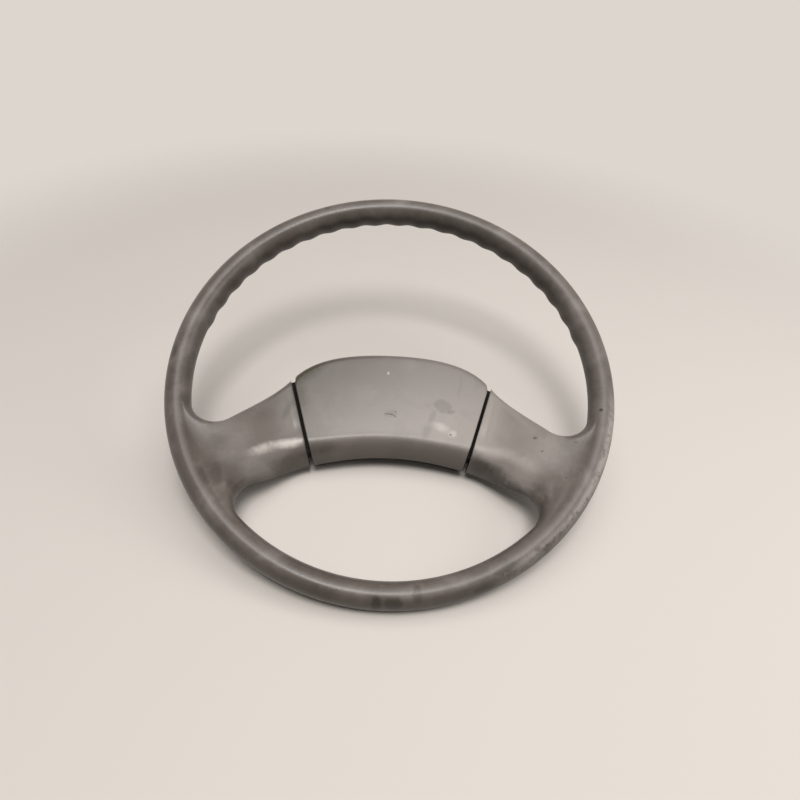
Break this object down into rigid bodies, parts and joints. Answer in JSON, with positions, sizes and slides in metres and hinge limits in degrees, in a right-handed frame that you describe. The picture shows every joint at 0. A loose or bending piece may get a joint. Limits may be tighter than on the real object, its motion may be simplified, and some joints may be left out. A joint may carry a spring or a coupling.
{
  "type": "steering wheel",
  "caption": "Two-spoke moulded steering wheel with a splined steel hub and a sprung horn pad that presses down on four guide pins.",
  "frame": {"origin": "on the steering column's axis, at the rear face of the hub's boss", "axes": "+Z along the column's axis towards the driver, +Y to the top of the wheel (12 o'clock), +X to its right as the driver sees it"},
  "size_m": [0.45, 0.45, 0.0955],
  "materials": {
    "grip": "fine leather grain, worn smooth",
    "pad": "fine leather grain",
    "tube": "drawn tube",
    "frame": "black electrocoat",
    "boss": "turned",
    "insulator": "moulded",
    "brass": "pressed",
    "cover": "fine grain",
    "zinc": "zinc plated",
    "lead": "extruded",
    "bush": "natural nylon",
    "spring": "drawn wire"
  },
  "bodies": {
    "wheel": {"grip": "grip", "rim_tube": "tube", "spoke_frame": "frame", "hub_boss": "boss", "ring_carrier": "insulator", "slip_ring": "brass", "carrier_screws": "zinc", "rear_cover": "cover", "rear_cover_screws": "zinc", "contact_block": "insulator", "fixed_contact": "brass", "block_screws": "zinc", "horn_lead": "lead", "guide_bush_1": "bush", "guide_bush_2": "bush", "guide_bush_3": "bush", "guide_bush_4": "bush", "horn_spring_1": "spring", "horn_spring_2": "spring", "horn_spring_3": "spring", "horn_spring_4": "spring"},
    "horn_pad": {"pad_cover": "pad", "pad_plate": "zinc", "pad_screws": "zinc", "moving_contact": "brass", "guide_pin_1": "zinc", "guide_pin_2": "zinc", "guide_pin_3": "zinc", "guide_pin_4": "zinc", "pin_clip_1": "spring", "pin_clip_2": "spring", "pin_clip_3": "spring", "pin_clip_4": "spring"}
  },
  "joints": [
    {"name": "horn_press", "type": "slide", "parent": "wheel", "child": "horn_pad", "axis": [0, 0, -1], "range_m": [0, 0.0022], "stiffness_N_per_m": 3000, "springref_m": -0.004, "deforming": ["horn_spring_1", "horn_spring_2", "horn_spring_3", "horn_spring_4"]}
  ]
}
